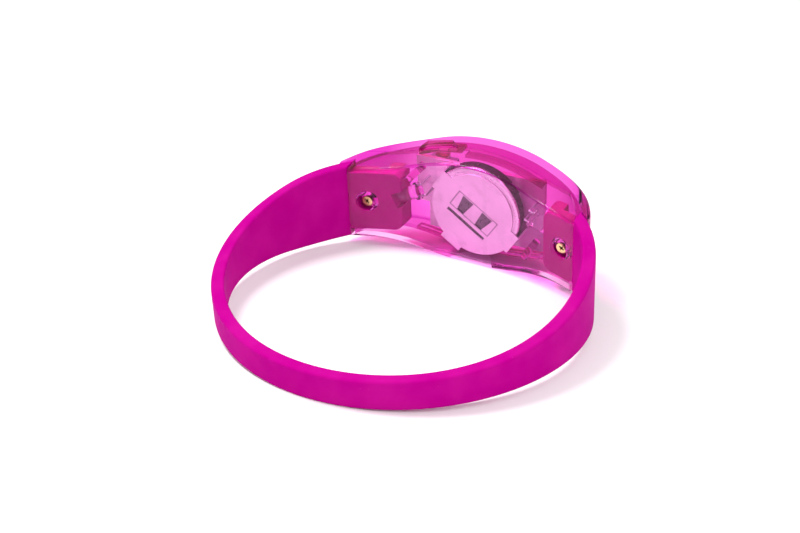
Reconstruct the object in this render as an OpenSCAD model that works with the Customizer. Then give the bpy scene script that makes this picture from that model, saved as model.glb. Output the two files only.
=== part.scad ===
// Light-up wristband: a one-piece silicone strap whose two ends are clamped in a clear housing.
// Millimetres. The origin is the centre of the wrist opening and Z is the wrist axis.
// The housing faces -Y, the strap closes at +Y, and the power button is pressed towards -Z.

/* [Wrist opening] */
// Radius of the round opening that the wrist goes through
wrist_r = 34; // [29:0.5:42]
// How far the middle of the housing stands inside the round opening
face_set = 6.4; // [4:0.2:9]
// How far the ends of the housing stand proud of the strap
end_proud = 0.7; // [0.4:0.1:1.2]

/* [Strap] */
// Thickness of the silicone
strap_t = 2.6; // [2:0.1:3.4]
// Height of the strap at its back
strap_back_h = 6; // [4:0.5:9]
// Height of the strap where it meets the housing
strap_front_h = 16.6; // [15:0.2:20]
// Length over which the strap widens, measured along Y
taper_run = 60; // [50:1:64]
// Share of the widening taken by the long hollow curve
taper_share = 0.8; // [0.6:0.05:0.9]
// Height of the tabs that lie inside the housing
tab_h = 13.6; // [11:0.2:14]
// Length of the tab beside the button
tab_len_left = 10.4; // [9:0.2:12]
// Length of the other tab
tab_len_right = 8; // [7:0.2:10]
// Radius of the tabs' corners
tab_corner_r = 2; // [0.5:0.1:3]
// Thickness of the rib that keeps each tab in the housing
rib_t = 2.2; // [1:0.1:2.6]
// Width of that rib
rib_w = 3.2; // [2:0.1:4]

/* [Housing] */
// Half of the length of the rear cover
half_len = 25.6; // [24:0.1:27]
// Height of the rear cover at its middle
mid_h = 23; // [22.4:0.2:27.4]
// Height of the housing at its ends
end_h = 17; // [16.6:0.1:20]
// How far each end of the housing keeps its full end height
end_flat = 2.6; // [1:0.1:5]
// Draft of the side walls, in degrees
draft = 4.5; // [1:0.5:8]
// Depth from the wrist face to the crest of the front cover
crest_depth = 12.4; // [11.8:0.1:16]
// Depth from the wrist face to the parting line
split_depth = 7; // [6.4:0.1:7.6]
// Radius of the crest of the front cover
crest_r = 100; // [80:5:160]
// Radius of the shoulders of the front cover
shoulder_r = 21; // [18:0.5:24]
// How far the lips of the front cover run past the rear cover
lip_len = 2.4; // [1:0.1:3]
// Thickness of the lips where they end
lip_t = 1.43; // [0.8:0.05:2]
// Thickness of the rear cover
plate_t = 1.1; // [0.8:0.1:1.4]
// Thickness of the side walls
wall_t = 1; // [0.8:0.1:1.2]
// Thickness of the front cover's crest
lens_t = 1.8; // [1.2:0.1:2]
// Thickness of the tongue inside the parting line
tongue_t = 0.7; // [0.5:0.1:0.8]
// How far the tongue reaches into the rear cover
tongue_d = 1.4; // [0.8:0.1:1.6]
// Half of the length of the tongue
tongue_half = 15; // [10:0.5:16]

/* [Screws] */
// Distance from the end of the rear cover to each screw
screw_inset = 4.6; // [4:0.1:5.4]
// Radius of the recess around a screw head
recess_r = 1.85; // [1.75:0.05:2.4]
// Depth of that recess at the screw's axis
recess_d = 1.6; // [1.2:0.1:1.8]
// Thickness of the floor under the screw head
seat_t = 0.8; // [0.6:0.1:1]
// Radius of the screw head
head_r = 1.3; // [1.1:0.05:1.5]
// Height of the screw head
head_h = 0.9; // [0.7:0.1:1.1]
// Radius of the screw's shank
shank_r = 0.8; // [0.6:0.05:1]
// Length of the screw's shank
shank_len = 6; // [4:0.5:7]
// Radius of the post that the screw bites into
post_r = 2.1; // [1.8:0.1:2.4]

/* [Coin cell] */
// Radius of the coin cell
cell_r = 10; // [9.8:0.1:10.2]
// Thickness of the coin cell
cell_t = 3.2; // [2.5:0.1:3.2]
// Place of the cell's centre along X
cell_x = -0.7; // [-1.5:0.1:1]
// Place of the cell's centre along Z
cell_z = 0.4; // [-0.5:0.1:0.5]
// Gap between the rear cover and the metal clip
cell_gap = 0.65; // [0.4:0.05:1]
// Thickness of the clip's sheet metal
clip_t = 0.3; // [0.2:0.05:0.4]
// Angle of the clip's slot below horizontal, in degrees
clip_turn = 34.5; // [0:0.5:60]
// Width of each clip leg
leg_w = 5; // [3:0.2:6]

/* [Circuit board] */
// Thickness of the board
board_t = 1; // [0.6:0.1:1.2]
// Distance from the board's button end to the end of the rear cover
board_gap_left = 10.6; // [10:0.1:13]
// Distance from the board's other end to the end of the rear cover
board_gap_right = 11.2; // [10:0.1:13]
// Height of the board's upper edge
board_top = 8; // [6:0.1:8]
// Depth of the board's lower edge
board_low = 8.1; // [6:0.1:8.4]
// Radius of the two posts that hold the board
peg_r = 0.8; // [0.6:0.1:1]

/* [Light emitters] */
// Radius of the clear bulb
bulb_r = 1.5; // [1.4:0.1:1.6]
// Length of the bulb from its flange to the tip of its dome
bulb_len = 5.3; // [4.6:0.1:5.6]
// Radius of the bulb's flange
flange_r = 1.9; // [1.7:0.1:2]
// Thickness of the flange
flange_t = 0.9; // [0.6:0.1:1]
// Fall of the bulbs below horizontal, in degrees
bulb_fall = 24; // [0:1:35]
// Lean of the bulb beside the button towards the wrist, in degrees
bulb_lean = 10; // [0:1:14]
// Radius of a wire
wire_r = 0.25; // [0.2:0.05:0.3]
// Spacing of a bulb's two wires
wire_gap = 2.54; // [2.4:0.02:2.7]

/* [Power button] */
// Place of the button's centre along X
button_x = 10; // [9:0.1:11]
// Length of the button at the parting line
button_len = 8.6; // [7:0.1:9]
// Width of the button across the wall
button_w = 1.9; // [1.6:0.1:2.2]
// How far the button stands out of the wall
button_proud = 0.35; // [0.3:0.05:0.8]
// Clearance around the button
button_gap = 0.1; // [0.06:0.01:0.2]
// Travel of the button and the switch
travel = 0.25; // [0.15:0.05:0.3]
// Length of the switch
switch_len = 6; // [5:0.1:6.4]
// Depth of the switch in front of the board
switch_d = 2.4; // [2.2:0.1:2.5]
// Height of the switch
switch_h = 2.5; // [2:0.1:2.6]

/* [Fits] */
// Clearance between the strap and the housing
strap_gap = 0.05; // [0.03:0.01:0.2]
// Clearance between the covers, the posts and what fits on them
cover_gap = 0.05; // [0.03:0.01:0.15]
// Running clearance of the switch plunger
plunger_gap = 0.06; // [0.04:0.01:0.1]

/* [Hidden] */
arc_fn = 360;
hole_fn = 48;
reach = 70;
tall = 60;
eps = 0.01;
strap_out_r = wrist_r + strap_t;
// Wrist face of the housing: an arc through its middle and its two ends
face_y = face_set - wrist_r;
end_y = end_proud - sqrt(wrist_r * wrist_r - half_len * half_len);
face_sag = end_y - face_y;
back_r = (half_len * half_len + face_sag * face_sag) / (2 * face_sag);
face_cy = face_y + back_r;
// Depths of the cell, the clip and the board, from the wrist face forwards
clip_y = face_y - plate_t - cell_gap;
cell_y = clip_y - clip_t;
board_y = cell_y - cell_t - 0.75;
board_front_y = board_y - board_t;
// Front cover: a crest arc, with shoulders that come down to the strap at the lips
crest_y = min(face_y - crest_depth, board_front_y - switch_d - lens_t - 1.2);
crest_cy = crest_y + crest_r;
lip_x = half_len + lip_len;
lip_y = -sqrt(strap_out_r * strap_out_r - lip_x * lip_x) - lip_t;
lip_dist = norm([lip_x, lip_y - crest_cy]);
along_u = [lip_x, lip_y - crest_cy] / lip_dist;
along = (pow(crest_r - shoulder_r, 2) - pow(shoulder_r, 2) + lip_dist * lip_dist) / (2 * lip_dist);
across = sqrt(pow(crest_r - shoulder_r, 2) - along * along);
shoulder_x = along * along_u[0] + across * along_u[1];
shoulder_y = crest_cy + along * along_u[1] - across * along_u[0];
crest_sin = shoulder_x / (crest_r - shoulder_r);
split_inset = 3;
// Side edge of the housing: a hump that turns flat towards each end
edge_run = half_len - end_flat;
edge_rise = (mid_h - end_h) / 2;
edge_r = (edge_run * edge_run + edge_rise * edge_rise) / (4 * edge_rise);
// Strap edge: a long hollow curve, then a short crowned one
strap_rise = (strap_front_h - strap_back_h) / 2;
taper_turn = 2 * atan(strap_rise / taper_run);
taper_sum_r = taper_run / sin(taper_turn);
hollow_r = taper_share * taper_sum_r;
crown_r = taper_sum_r - hollow_r;
taper_back_y = strap_out_r + 0.2;
taper_steps = 30;
taper_front_y = taper_back_y - taper_run;
taper_mid_y = taper_back_y - hollow_r * sin(taper_turn);
// Tabs
tab_face = plate_t + strap_gap;
tab_left_x = half_len - tab_len_left;
tab_right_x = half_len - tab_len_right;
tab_root = 0.8;
rib_set = 0.5;
tab_hole_gap = 0.1;
// Screws
screw_x = half_len - screw_inset;
seat_y = face_at(screw_x) - recess_d;
cup_r = recess_r + 0.4;
cup_end_y = seat_y - seat_t;
// Coin cell and clip
can_t = 0.88 * cell_t;
can_wall = 0.3;
cap_r = 0.82 * cell_r;
gasket_r = cap_r + 0.6;
leg_gap = 0.15;
leg_end_y = board_front_y - 0.6;
leg_side = cell_r + leg_gap;
foot_r = leg_side + 0.4;
clip_small_r = 0.86 * cell_r;
rim_v = 0.25 * cell_r;
// Board
board_left = half_len - board_gap_left;
board_right = -(half_len - board_gap_right);
board_step_x = board_left - 2.8;
board_step_z = -2.3;
peg_right = [board_right + 1.6, -6];
peg_left = [board_left - 1.3, 5.8];
peg_end_y = board_front_y - 0.7;
// Light emitters: the place of each flange and the direction of each wire
left_bulb_x = board_left - 2.7;
left_bulb_y = face_at(left_bulb_x) - plate_t - flange_r - 0.2;
left_bulb = [left_bulb_x, left_bulb_y, 2.4];
right_bulb_y = face_at(tab_right_x) - tab_face - strap_t - bulb_r - 0.47;
right_bulb = [board_right + 1.5, right_bulb_y, 1.5];
wire_back = 0.9;
elbow_r = 1.25 * wire_r;
wire_end_y = board_front_y - 0.7;
pocket_gap = 0.2;
// Button and switch
button_y = face_y - split_depth;
button_back = 2.5;
button_taper_left = 0.5;
button_taper_right = 2;
flange_wide = 0.8;
button_flange_t = 0.8;
flange_rest = 0.05;
switch_top = 7.3;
plunger_len = 2.6;
plunger_w = 1.3;
plunger_out = 0.8;
plunger_in = 1;
shell_t = 0.15;
switch_x = button_x - 0.2;
switch_y = board_front_y - switch_d / 2;
plunger_top = switch_top + plunger_out;
// Small parts on the front of the board
chip_r = 3.6;
chip_h = 1.3;
chip_at = [-4, -1.5];
resistors = [[3.6, -5.4], [-9.6, 3.4], [-9.6, 6]];
capacitor_at = [3.2, 2.6];
solder_r = 0.6;
solder_h = 0.5;
silicone_c = [0.8, 0, 0.63];
clear_c = [0.93, 0.35, 0.8, 0.45];

// Y of the wrist face at a distance x from the middle
function face_at(x) = face_cy - sqrt(back_r * back_r - x * x);

// Plan outlines, in X and Y
module wrist_disc(depth) {
    translate([0, face_cy])
        circle(r = back_r + depth, $fn = arc_fn);
}

module strip(half) {
    translate([-half, -reach])
        square([2 * half, reach]);
}

module crest_plan(inset) {
    tangent_x = (crest_r - inset) * crest_sin;
    widest = shoulder_x + shoulder_r - inset;
    intersection() {
        translate([0, crest_cy])
            circle(r = crest_r - inset, $fn = arc_fn);
        union() {
            for (side = [-1, 1])
                translate([side * shoulder_x, shoulder_y])
                    circle(r = shoulder_r - inset, $fn = arc_fn);
            translate([-tangent_x, shoulder_y - 1.5 * shoulder_r])
                square([2 * tangent_x, 2 * shoulder_r]);
            translate([-widest, shoulder_y])
                square([2 * widest, reach]);
        }
    }
}

module parting_plan() {
    intersection() {
        wrist_disc(split_depth);
        crest_plan(split_inset);
    }
    wrist_disc(plate_t);
}

module plan(h) {
    linear_extrude(height = h, center = true)
        children();
}

// Everything below the upper edge line of the housing, drawn in X and Z
module under_edge() {
    join_z = (mid_h + end_h) / 4;
    difference() {
        union() {
            translate([-reach, -reach])
                square([2 * reach, reach + join_z]);
            intersection() {
                translate([-edge_run / 2, 0])
                    square([edge_run, mid_h]);
                translate([0, mid_h / 2 - edge_r])
                    circle(r = edge_r, $fn = arc_fn);
            }
        }
        for (side = [-1, 1]) {
            translate([side * edge_run, end_h / 2 + edge_r])
                circle(r = edge_r, $fn = arc_fn);
            translate([side * (edge_run + reach / 2), end_h / 2 + mid_h / 2])
                square([reach, mid_h], center = true);
        }
    }
}

// The space between the two drafted side walls, brought in by inset
module half_space(inset) {
    translate([0, face_y, -inset])
        rotate([-draft, 0, 0])
            translate([0, reach, 0])
                rotate([90, 0, 0])
                    linear_extrude(height = 2 * reach)
                        under_edge();
}

module between_walls(inset) {
    intersection() {
        half_space(inset);
        mirror([0, 0, 1])
            half_space(inset);
    }
}

// A round bar from point a to point b
module bar(a, b, r) {
    d = b - a;
    translate(a)
        rotate([0, acos(d[2] / norm(d)), atan2(d[1], d[0])])
            cylinder(r = r, h = norm(d), $fn = hole_fn);
}

// A cylinder along -Y that starts at y
module forward(x, y, z, r, h) {
    translate([x, y, z])
        rotate([90, 0, 0])
            cylinder(r = r, h = h, $fn = hole_fn);
}

// Silicone strap
// Half of the strap's height at y: flat, then crowned, then hollow towards the back
function strap_half_h(y) =
    y < taper_front_y ? strap_front_h / 2 :
    y < taper_mid_y ? strap_front_h / 2 - crown_r + sqrt(pow(crown_r, 2) - pow(y - taper_front_y, 2)) :
    strap_back_h / 2 + hollow_r - sqrt(pow(hollow_r, 2) - pow(taper_back_y - y, 2));

// Side view of the strap, in Y and Z
module strap_profile() {
    step = taper_run / taper_steps;
    upper = [for (i = [0:taper_steps]) let (y = taper_front_y + i * step) [y, strap_half_h(y)]];
    lower = [for (i = [taper_steps:-1:0]) [upper[i][0], -upper[i][1]]];
    front_y = taper_front_y - strap_out_r;
    polygon(concat([[front_y, upper[0][1]]], upper, lower, [[front_y, -upper[0][1]]]));
}

module strap_ring() {
    difference() {
        intersection() {
            plan(tall)
                difference() {
                    circle(r = strap_out_r, $fn = arc_fn);
                    circle(r = wrist_r, $fn = arc_fn);
                }
            rotate([90, 0, 90])
                linear_extrude(height = 2 * reach, center = true)
                    strap_profile();
        }
        plan(tall)
            strip(half_len + strap_gap);
    }
}

// A tab's outline, in X and Z: its end is rounded
module tab_outline(from_x) {
    to_x = half_len + tab_root;
    mid = (from_x + tab_corner_r + to_x) / 2;
    translate([mid, 0])
        square([to_x - from_x - tab_corner_r, tab_h], center = true);
    translate([from_x + tab_corner_r, 0])
        square([2 * tab_corner_r, tab_h - 2 * tab_corner_r], center = true);
    for (side = [-1, 1])
        translate([from_x + tab_corner_r, side * (tab_h / 2 - tab_corner_r)])
            circle(r = tab_corner_r, $fn = hole_fn);
}

module tab(from_x) {
    intersection() {
        plan(tall)
            difference() {
                intersection() {
                    circle(r = strap_out_r, $fn = arc_fn);
                    union() {
                        wrist_disc(tab_face + strap_t);
                        intersection() {
                            wrist_disc(tab_face + strap_t + rib_t);
                            translate([from_x + rib_set, -reach])
                                square([rib_w, reach]);
                        }
                    }
                }
                wrist_disc(tab_face);
            }
        rotate([90, 0, 0])
            linear_extrude(height = reach)
                tab_outline(from_x);
    }
}

module bulb_pocket() {
    width = 2 * (bulb_r + pocket_gap);
    at_bulb(left_bulb, bulb_lean)
        rotate([0, 90, 0])
            linear_extrude(height = bulb_len + pocket_gap) {
                circle(r = width / 2, $fn = hole_fn);
                translate([-width / 2, 0])
                    square([width, tab_face + strap_t + rib_t]);
            }
}

module silicone_band() {
    color(silicone_c)
        difference() {
            union() {
                strap_ring();
                tab(tab_left_x);
                mirror([1, 0, 0])
                    tab(tab_right_x);
            }
            for (side = [-1, 1])
                forward(side * screw_x, 0, 0, cup_r + tab_hole_gap, reach);
            bulb_pocket();
        }
}

// Rear cover
module rear_cover() {
    color(clear_c)
        difference() {
            union() {
                difference() {
                    intersection() {
                        between_walls(0);
                        plan(tall)
                            difference() {
                                intersection() {
                                    parting_plan();
                                    strip(half_len);
                                }
                                wrist_disc(0);
                            }
                    }
                    intersection() {
                        between_walls(wall_t);
                        plan(tall)
                            difference() {
                                strip(reach);
                                wrist_disc(plate_t);
                            }
                    }
                }
                for (side = [-1, 1])
                    difference() {
                        forward(side * screw_x, 0, 0, cup_r, -cup_end_y);
                        plan(tall)
                            wrist_disc(plate_t / 2);
                    }
                board_pegs();
            }
            for (side = [-1, 1]) {
                forward(side * screw_x, 0, 0, recess_r, -seat_y);
                forward(side * screw_x, 0, 0, shank_r + cover_gap, reach);
            }
        }
}

module board_pegs() {
    for (at = [peg_left, peg_right])
        difference() {
            forward(at[0], 0, at[1], peg_r, -peg_end_y);
            plan(tall)
                wrist_disc(plate_t / 2);
        }
}

// Front cover
module strap_room() {
    plan(tall)
        difference() {
            circle(r = strap_out_r + strap_gap, $fn = arc_fn);
            strip(half_len + eps);
        }
    plan(tab_h + 2 * strap_gap)
        intersection() {
            circle(r = strap_out_r + strap_gap, $fn = arc_fn);
            wrist_disc(tab_face + strap_t + strap_gap);
        }
}

module front_cover() {
    color(clear_c)
        difference() {
            union() {
                difference() {
                    intersection() {
                        between_walls(0);
                        plan(tall)
                            difference() {
                                intersection() {
                                    crest_plan(0);
                                    strip(lip_x);
                                }
                                parting_plan();
                            }
                    }
                    intersection() {
                        between_walls(wall_t);
                        plan(tall)
                            intersection() {
                                crest_plan(lens_t);
                                strip(reach);
                            }
                    }
                    strap_room();
                }
                screw_posts();
                tongue();
            }
            for (side = [-1, 1])
                forward(side * screw_x, cup_end_y + 1, 0, shank_r + cover_gap, shank_len);
            button_slot();
        }
}

module screw_posts() {
    intersection() {
        for (side = [-1, 1])
            forward(side * screw_x, cup_end_y - cover_gap, 0, post_r, reach);
        plan(tall)
            crest_plan(lens_t / 2);
    }
}

// One length of the tongue, from one depth to another behind the wrist face
module tongue_band(from_depth, to_depth, inset) {
    intersection() {
        between_walls(inset);
        plan(tall)
            difference() {
                intersection() {
                    wrist_disc(to_depth);
                    strip(tongue_half);
                }
                wrist_disc(from_depth);
            }
    }
}

module tongue() {
    deep = wall_t + cover_gap;
    difference() {
        union() {
            tongue_band(split_depth - tongue_d, split_depth + tongue_t, deep);
            tongue_band(split_depth, split_depth + tongue_t, wall_t - eps);
        }
        between_walls(deep + tongue_t);
        translate([button_x - button_len / 2 - 2, -reach, 0])
            cube([button_len + 4, reach, tall]);
    }
}

// The button's outline, which runs back past the parting line
module button_outline(grow) {
    half = button_len / 2 + grow;
    translate([button_x, button_y])
        polygon([[half, button_back], [half, 0], [half - button_taper_left, -button_w - grow],
            [-half + button_taper_right, -button_w - grow], [-half, 0], [-half, button_back]]);
}

module button_slot() {
    linear_extrude(height = tall)
        button_outline(0);
}

module button_flange_plan() {
    translate([button_x - button_len / 2 - flange_wide, button_y - button_w - flange_wide])
        square([button_len + 2 * flange_wide, button_w + flange_wide - button_gap]);
}

// Power button: a cap in the slot, a flange behind the wall and a foot on the switch
module power_button() {
    color([0.9, 0.3, 0.7, 0.6])
        union() {
            difference() {
                intersection() {
                    between_walls(-button_proud);
                    linear_extrude(height = tall)
                        difference() {
                            button_outline(-button_gap);
                            wrist_disc(split_depth + button_gap);
                        }
                }
                between_walls(wall_t + flange_rest + button_flange_t / 2);
            }
            difference() {
                intersection() {
                    between_walls(wall_t + flange_rest);
                    linear_extrude(height = tall)
                        intersection() {
                            button_flange_plan();
                            crest_plan(lens_t + 2 * button_gap);
                        }
                }
                between_walls(wall_t + flange_rest + button_flange_t);
            }
            intersection() {
                between_walls(wall_t + flange_rest + button_flange_t / 2);
                translate([switch_x - plunger_len / 2, button_y - button_w, plunger_top])
                    cube([plunger_len, button_w - button_gap, tall]);
            }
        }
}

// Cover screws
module cover_screws() {
    color([0.85, 0.68, 0.4])
        for (side = [-1, 1])
            translate([side * screw_x, 0, 0])
                cover_screw();
}

module cover_screw() {
    slot_w = 0.4;
    slot_len = 1.7;
    difference() {
        union() {
            forward(0, seat_y + head_h, 0, head_r, head_h);
            forward(0, seat_y, 0, shank_r, shank_len - 1);
        }
        for (turn = [0, 90])
            translate([0, seat_y + head_h, 0])
                rotate([0, turn + 35, 0])
                    cube([slot_len, head_h, slot_w], center = true);
    }
}

// Coin cell
module cell_can() {
    color([0.82, 0.82, 0.84])
        translate([cell_x, cell_y, cell_z])
            rotate([90, 0, 0])
                difference() {
                    cylinder(r = cell_r, h = can_t, $fn = arc_fn);
                    translate([0, 0, can_wall])
                        cylinder(r = cell_r - can_wall, h = can_t - 2 * can_wall, $fn = arc_fn);
                    translate([0, 0, can_wall])
                        cylinder(r = gasket_r, h = cell_t, $fn = arc_fn);
                }
}

module cell_gasket() {
    color([0.15, 0.15, 0.16])
        translate([cell_x, cell_y - can_wall, cell_z])
            rotate([90, 0, 0])
                difference() {
                    union() {
                        cylinder(r = gasket_r, h = can_t, $fn = arc_fn);
                        cylinder(r = cell_r - can_wall, h = can_t - 2 * can_wall, $fn = arc_fn);
                    }
                    translate([0, 0, -eps])
                        cylinder(r = cap_r, h = cell_t, $fn = arc_fn);
                }
}

module cell_cap() {
    color([0.75, 0.75, 0.77])
        translate([cell_x, cell_y - can_wall, cell_z])
            rotate([90, 0, 0])
                cylinder(r = cap_r, h = cell_t - can_wall, $fn = arc_fn);
}

// Metal clip over the cell: its own x runs along the slot and its own y across it
module at_clip() {
    translate([cell_x, clip_y, cell_z])
        rotate([0, -clip_turn, 0])
            rotate([90, 0, 0])
                children();
}

module clip_face() {
    difference() {
        union() {
            circle(r = clip_small_r, $fn = arc_fn);
            difference() {
                circle(r = cell_r, $fn = arc_fn);
                translate([-reach, rim_v])
                    square([2 * reach, reach]);
            }
            square([2 * (leg_side + clip_t), leg_w], center = true);
            translate([-leg_w / 2, -foot_r - clip_t])
                square([leg_w, foot_r]);
        }
        clip_cuts();
    }
}

// A long slot, and two gaps that leave three contact fingers
module clip_cuts() {
    translate([-5, -4.3])
        square([10, 0.75]);
    for (side = [-1, 1])
        polygon([[side * 1.2, 1.2], [side * 4, 1.2], [side * 3.3, -2.6], [side * 1.6, -2.6]]);
}

// Two legs pass through the board, and the one behind the switch stands on it
module through_legs(grow, drop) {
    translate([-leg_side - clip_t / 2, 0, drop / 2])
        cube([clip_t + 2 * grow, leg_w + 2 * grow, drop], center = true);
    translate([0, -foot_r - clip_t / 2, drop / 2])
        cube([leg_w + 2 * grow, clip_t + 2 * grow, drop], center = true);
}

module battery_clip() {
    color([0.88, 0.87, 0.85])
        at_clip() {
            linear_extrude(height = clip_t)
                clip_face();
            through_legs(0, clip_y - leg_end_y);
            translate([leg_side + clip_t / 2, 0, (clip_y - board_y) / 2])
                cube([clip_t, leg_w, clip_y - board_y], center = true);
        }
}

module negative_contact() {
    rise = board_y - (cell_y - cell_t);
    sheet = 0.2;
    color([0.8, 0.72, 0.5])
        translate([cell_x, board_y, cell_z])
            rotate([-90, 0, 0])
                rotate_extrude($fn = arc_fn)
                    polygon([[5.5, 0], [6, 0], [6, sheet], [5.5, sheet], [2.5, -rise], [2, -rise], [2, -rise - sheet],
                        [2.6, -rise - sheet]]);
}

// Circuit board
module circuit_board() {
    room = wall_t + cover_gap + tongue_t + 0.15;
    color([0.93, 0.92, 0.88])
        difference() {
            intersection() {
                between_walls(room);
                translate([0, board_y, 0])
                    rotate([90, 0, 0])
                        linear_extrude(height = board_t)
                            difference() {
                                translate([board_right, -board_low])
                                    square([board_left - board_right, board_low + board_top]);
                                translate([board_step_x, -board_low - eps])
                                    square([reach, board_low + board_step_z + eps]);
                            }
            }
            at_clip()
                through_legs(cover_gap, reach);
            for (at = [peg_left, peg_right])
                forward(at[0], 0, at[1], peg_r + cover_gap, reach);
            for (at = wire_feet())
                forward(at[0], 0, at[1], wire_r + cover_gap, reach);
        }
}

// Light emitters: the bulb's own x is its axis
module at_bulb(at, lean) {
    translate(at)
        rotate([0, bulb_fall, lean])
            children();
}

module led_bulb(at, lean) {
    color([0.95, 0.85, 0.95, 0.6])
        at_bulb(at, lean)
            rotate([0, 90, 0])
                union() {
                    cylinder(r = flange_r, h = flange_t, $fn = hole_fn);
                    cylinder(r = bulb_r, h = bulb_len - bulb_r, $fn = hole_fn);
                    translate([0, 0, bulb_len - bulb_r])
                        sphere(r = bulb_r, $fn = hole_fn);
                }
}

// Where a wire leaves the flange, and where it turns towards the board
function fall_along() = [cos(bulb_fall), 0, -sin(bulb_fall)];
function fall_across() = [sin(bulb_fall), 0, cos(bulb_fall)];
function wire_root(at, side) = at + side * wire_gap / 2 * fall_across();
function wire_bend(at, side) = wire_root(at, side) - wire_back * fall_along();
function flip(p) = [-p[0], p[1], p[2]];
function wire_feet() = [for (side = [-1, 1])
    for (p = [wire_bend(left_bulb, side), flip(wire_bend(flip(right_bulb), side))]) [p[0], p[2]]];

module led_leads(at) {
    color([0.8, 0.8, 0.8])
        for (side = [-1, 1]) {
            bend = wire_bend(at, side);
            bar(wire_root(at, side), bend, wire_r);
            translate(bend)
                rotate([0, 0, 90])
                    sphere(r = elbow_r, $fn = hole_fn);
            bar(bend, [bend[0], wire_end_y, bend[2]], wire_r);
        }
}

module left_led_bulb() {
    led_bulb(left_bulb, bulb_lean);
}

module left_led_leads() {
    led_leads(left_bulb);
}

module right_led_bulb() {
    mirror([1, 0, 0])
        led_bulb(flip(right_bulb), 0);
}

module right_led_leads() {
    mirror([1, 0, 0])
        led_leads(flip(right_bulb));
}

// Push switch on the front of the board
module plunger_box(grow, low) {
    translate([switch_x, switch_y, (plunger_top + low) / 2])
        cube([plunger_len + 2 * grow, plunger_w + 2 * grow, plunger_top - low], center = true);
}

module switch_body() {
    color([0.12, 0.12, 0.13])
        difference() {
            translate([switch_x, switch_y, switch_top - shell_t - switch_h / 2])
                cube([switch_len, switch_d, switch_h], center = true);
            plunger_box(plunger_gap, switch_top - plunger_in - travel - 0.1);
        }
}

module switch_cover() {
    color([0.8, 0.8, 0.82])
        difference() {
            translate([switch_x, switch_y, switch_top - shell_t / 2])
                cube([switch_len, switch_d, shell_t], center = true);
            plunger_box(plunger_gap, 0);
        }
}

module switch_plunger() {
    color([0.95, 0.95, 0.92])
        plunger_box(0, switch_top - plunger_in);
}

module switch_terminals() {
    color([0.82, 0.8, 0.76])
        for (side = [-1, 1])
            translate([switch_x + side * (switch_len / 2 + 0.3), board_front_y - 0.1, switch_top - switch_h - 0.4])
                cube([0.6, 0.2, 1], center = true);
}

// Small parts on the front of the board
module controller_chip() {
    ball_r = (chip_r * chip_r + chip_h * chip_h) / (2 * chip_h);
    color([0.06, 0.06, 0.07])
        intersection() {
            translate([chip_at[0], board_front_y + ball_r - chip_h, chip_at[1]])
                sphere(r = ball_r, $fn = arc_fn / 3);
            forward(chip_at[0], board_front_y, chip_at[1], chip_r + 1, chip_h + 1);
        }
}

module front_block(at, size) {
    translate([at[0], board_front_y - size[1] / 2, at[1]])
        cube(size, center = true);
}

module chip_resistors() {
    color([0.1, 0.1, 0.11])
        for (at = resistors)
            front_block(at, [2, 0.5, 1.2]);
}

module chip_capacitor() {
    color([0.6, 0.45, 0.3])
        front_block(capacitor_at, [1.25, 0.8, 2]);
}

module solder_joints() {
    color([0.75, 0.75, 0.76])
        for (at = wire_feet())
            difference() {
                forward(at[0], board_front_y, at[1], solder_r, solder_h);
                forward(at[0], board_front_y + eps, at[1], wire_r, solder_h + 2 * eps);
            }
}

silicone_band();
rear_cover();
front_cover();
cover_screws();
power_button();
circuit_board();
battery_clip();
cell_can();
cell_gasket();
cell_cap();
negative_contact();
left_led_bulb();
left_led_leads();
right_led_bulb();
right_led_leads();
switch_body();
switch_cover();
switch_plunger();
switch_terminals();
controller_chip();
chip_resistors();
chip_capacitor();
solder_joints();
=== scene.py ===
"""Light-up silicone wristband: finer pieces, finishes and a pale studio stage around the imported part."""

import math

import bmesh
import bpy
from mathutils import Matrix, Vector


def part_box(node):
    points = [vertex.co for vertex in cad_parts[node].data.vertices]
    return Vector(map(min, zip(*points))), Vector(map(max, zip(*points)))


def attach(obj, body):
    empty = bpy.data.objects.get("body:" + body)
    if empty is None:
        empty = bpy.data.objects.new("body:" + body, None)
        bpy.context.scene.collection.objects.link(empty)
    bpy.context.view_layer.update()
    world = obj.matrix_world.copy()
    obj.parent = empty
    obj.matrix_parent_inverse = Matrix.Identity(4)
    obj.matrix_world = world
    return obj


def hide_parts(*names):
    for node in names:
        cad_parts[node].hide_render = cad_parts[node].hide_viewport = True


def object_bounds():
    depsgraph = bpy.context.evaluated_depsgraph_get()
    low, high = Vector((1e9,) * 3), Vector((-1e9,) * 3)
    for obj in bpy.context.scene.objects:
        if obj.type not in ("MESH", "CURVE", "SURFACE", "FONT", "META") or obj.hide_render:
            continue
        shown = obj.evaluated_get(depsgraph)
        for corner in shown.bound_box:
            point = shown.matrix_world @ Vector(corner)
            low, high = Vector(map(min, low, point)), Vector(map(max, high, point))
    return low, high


bl_info = {
    "name": "Light-up wristband",
    "version": (1, 0, 0),
    "blender": (4, 5, 0),
    "location": "3D View > Sidebar > Wristband",
    "description": "Builds the finer pieces and the finishes of a light-up silicone wristband",
    "category": "Add Mesh",
}

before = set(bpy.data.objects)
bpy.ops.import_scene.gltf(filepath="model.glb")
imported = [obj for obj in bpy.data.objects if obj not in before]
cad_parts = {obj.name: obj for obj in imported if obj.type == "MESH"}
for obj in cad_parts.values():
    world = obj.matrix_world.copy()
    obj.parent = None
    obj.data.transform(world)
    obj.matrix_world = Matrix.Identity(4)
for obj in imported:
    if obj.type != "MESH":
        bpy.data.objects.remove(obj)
CAD_LOW, CAD_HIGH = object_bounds()
MM = 0.001
STRAP_OUT_R = CAD_HIGH.y / MM
WRIST_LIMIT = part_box("rear_cover")[1].x / MM
SCREW_X = (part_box("cover_screws")[1].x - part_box("cover_screws")[0].x) / 2 / MM
CELL_LOW, CELL_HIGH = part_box("cell_can")


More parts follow.
